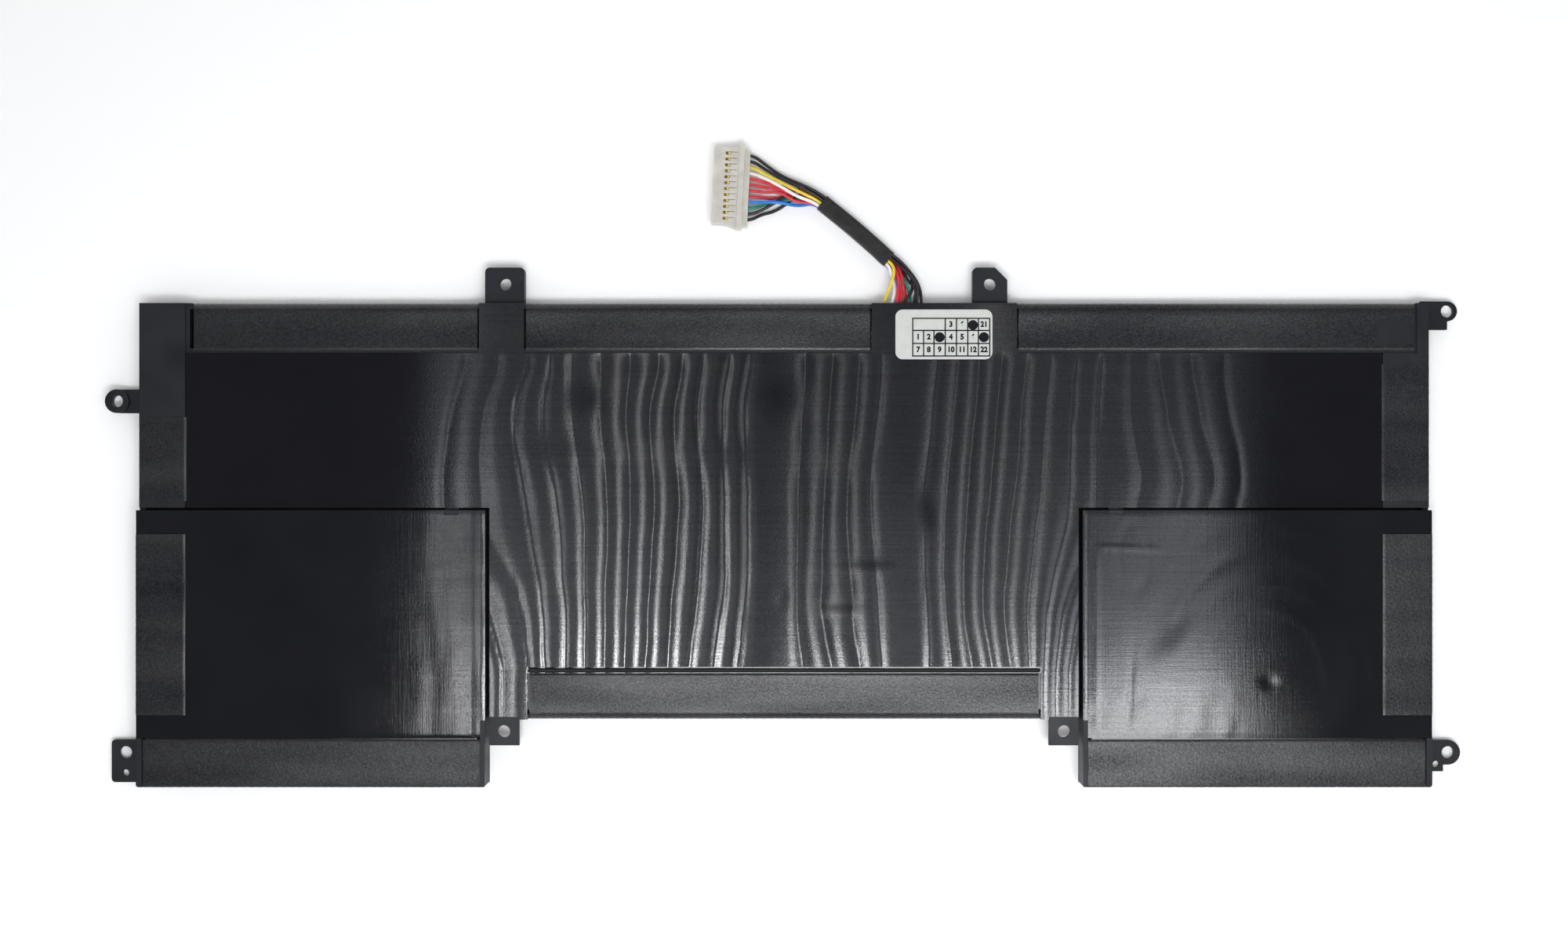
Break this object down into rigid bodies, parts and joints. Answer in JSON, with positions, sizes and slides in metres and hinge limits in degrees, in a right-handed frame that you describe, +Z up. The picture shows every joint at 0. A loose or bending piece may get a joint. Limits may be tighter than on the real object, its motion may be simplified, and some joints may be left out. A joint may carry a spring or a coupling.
{
  "type": "laptop battery",
  "caption": "Flat internal laptop battery pack: pouch cells in a moulded frame with glossy covers, tapes, screw lugs and a short wired lead to a flat connector",
  "frame": {"origin": "on the table under the middle of the pack's box, the lead left out", "axes": "+Z up out of the covered face, +Y towards the edge that the lead leaves, X along the pack's length"},
  "size_m": [0.286, 0.1351, 0.0061],
  "materials": {
    "frame_plastic": "fine matte moulding",
    "cover_film": "glossy black film",
    "base_film": "smooth black film",
    "tape_black": "matte black polyester tape",
    "label_paper": "white paper with a printed grid",
    "cell_wrap": "black film wrapped around a foil pouch",
    "tab_nickel": "nickel strip",
    "tab_aluminium": "aluminium strip",
    "board_laminate": "dark green solder mask",
    "chip_black": "moulded epoxy",
    "shunt_metal": "resistance alloy",
    "sealant_white": "cured silicone",
    "adhesive_clear": "double-sided adhesive",
    "sleeve_black": "shrink sleeve",
    "nylon_white": "translucent nylon",
    "contact_gold": "gold plating",
    "wire_black": "insulation",
    "wire_red": "insulation",
    "wire_yellow": "insulation",
    "wire_white": "insulation",
    "wire_blue": "insulation",
    "wire_green": "insulation"
  },
  "bodies": {
    "root": {"frame": "frame_plastic", "upper_cover": "cover_film", "left_leg_cover": "cover_film", "right_leg_cover": "cover_film", "band_base": "base_film", "left_leg_base": "base_film", "right_leg_base": "base_film", "date_label": "label_paper", "positive_tabs": "tab_aluminium", "negative_tabs": "tab_nickel", "left_link_straps": "tab_nickel", "right_link_straps": "tab_nickel", "cell_adhesive": "adhesive_clear", "protection_board": "board_laminate", "gauge_chip": "chip_black", "power_switches": "chip_black", "current_shunt": "shunt_metal", "thermal_fuse": "chip_black", "small_components": "chip_black", "joint_sealant": "sealant_white", "lead_sleeve": "sleeve_black", "connector_housing": "nylon_white", "connector_contacts": "contact_gold", "top_left_tape": "tape_black", "top_centre_tape": "tape_black", "top_right_tape": "tape_black", "stem_tape": "tape_black", "left_leg_end_tape": "tape_black", "right_leg_end_tape": "tape_black", "left_band_tape": "tape_black", "right_band_tape": "tape_black", "left_leg_tape": "tape_black", "right_leg_tape": "tape_black", "left_upper_cell": "cell_wrap", "left_stem_cell": "cell_wrap", "left_leg_cell": "cell_wrap", "right_upper_cell": "cell_wrap", "right_stem_cell": "cell_wrap", "right_leg_cell": "cell_wrap", "wire_black_1": "wire_black", "wire_black_2": "wire_black", "wire_yellow": "wire_yellow", "wire_white": "wire_white", "wire_red_1": "wire_red", "wire_red_2": "wire_red", "wire_red_3": "wire_red", "wire_red_4": "wire_red", "wire_blue": "wire_blue", "wire_green": "wire_green", "wire_black_3": "wire_black", "wire_black_4": "wire_black"}
  },
  "joints": []
}
